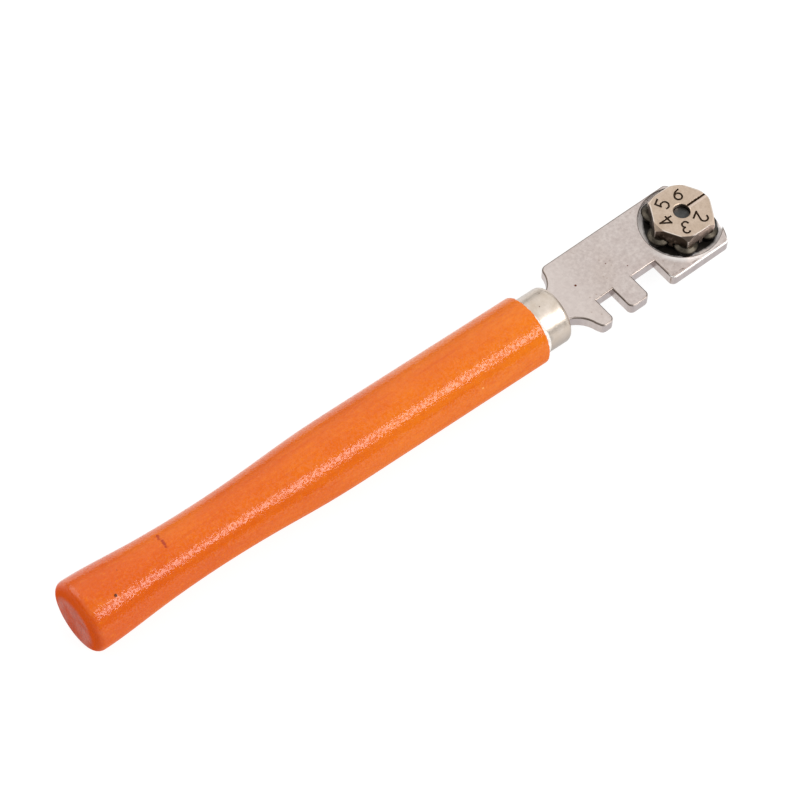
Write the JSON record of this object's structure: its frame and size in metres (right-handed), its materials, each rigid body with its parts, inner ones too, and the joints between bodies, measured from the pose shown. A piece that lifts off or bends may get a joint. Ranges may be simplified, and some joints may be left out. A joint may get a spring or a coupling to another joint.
{
  "type": "glass cutter",
  "caption": "Straight hand glass cutter: turned wooden handle, metal ferrule, flat head with two breaking notches and a numbered hexagonal turret of small steel cutting wheels.",
  "frame": {"origin": "centre of the flat butt face of the handle, on the handle's axis", "axes": "+X along the handle towards the cutting head; +Z out of the numbered face of the turret, square to the head plate; +Y completes the frame, away from the side with the notches"},
  "size_m": [0.1301, 0.0159, 0.0126],
  "materials": {
    "lacquered_wood": "glossy orange lacquer over fine-grained hardwood",
    "ferrule_nickel": "nickel-plated drawn steel, satin",
    "plate_nickel": "nickel-plated cast steel, bright edges",
    "turret_nickel": "warm satin nickel, stamped numerals",
    "wheel_steel": "ground and oiled tool steel",
    "screw_steel": "dark blued steel"
  },
  "bodies": {
    "tool": {"handle": "lacquered_wood", "ferrule": "ferrule_nickel", "head_plate": "plate_nickel", "spring_washer": "screw_steel"},
    "turret": {"turret": "turret_nickel", "wheel_axle_1": "screw_steel", "wheel_axle_2": "screw_steel", "wheel_axle_3": "screw_steel", "wheel_axle_4": "screw_steel", "wheel_axle_5": "screw_steel", "wheel_axle_6": "screw_steel"},
    "screw": {"turret_screw": "screw_steel"},
    "wheel_1": {"cutting_wheel_1": "wheel_steel"},
    "wheel_2": {"cutting_wheel_2": "wheel_steel"},
    "wheel_3": {"cutting_wheel_3": "wheel_steel"},
    "wheel_4": {"cutting_wheel_4": "wheel_steel"},
    "wheel_5": {"cutting_wheel_5": "wheel_steel"},
    "wheel_6": {"cutting_wheel_6": "wheel_steel"}
  },
  "joints": [
    {"name": "turret_turn", "type": "hinge", "parent": "tool", "child": "turret", "pos_m": [0.12374, 0.0009, 0], "axis": [0, 0, 1], "continuous": true},
    {"name": "turret_screw_turn", "type": "hinge", "parent": "tool", "child": "screw", "pos_m": [0.12374, 0.0009, 0], "axis": [0, 0, -1], "range_deg": [0, 360]},
    {"name": "cutting_wheel_1_spin", "type": "hinge", "parent": "turret", "child": "wheel_1", "pos_m": [0.12839, 0.00103, 0], "axis": [0, 0, 1], "continuous": true},
    {"name": "cutting_wheel_2_spin", "type": "hinge", "parent": "turret", "child": "wheel_2", "pos_m": [0.12617, -0.00306, 0], "axis": [0, 0, 1], "continuous": true},
    {"name": "cutting_wheel_3_spin", "type": "hinge", "parent": "turret", "child": "wheel_3", "pos_m": [0.12152, -0.00319, 0], "axis": [0, 0, 1], "continuous": true},
    {"name": "cutting_wheel_4_spin", "type": "hinge", "parent": "turret", "child": "wheel_4", "pos_m": [0.11909, 0.00078, 0], "axis": [0, 0, 1], "continuous": true},
    {"name": "cutting_wheel_5_spin", "type": "hinge", "parent": "turret", "child": "wheel_5", "pos_m": [0.1213, 0.00487, 0], "axis": [0, 0, 1], "continuous": true},
    {"name": "cutting_wheel_6_spin", "type": "hinge", "parent": "turret", "child": "wheel_6", "pos_m": [0.12595, 0.00499, 0], "axis": [0, 0, 1], "continuous": true}
  ]
}
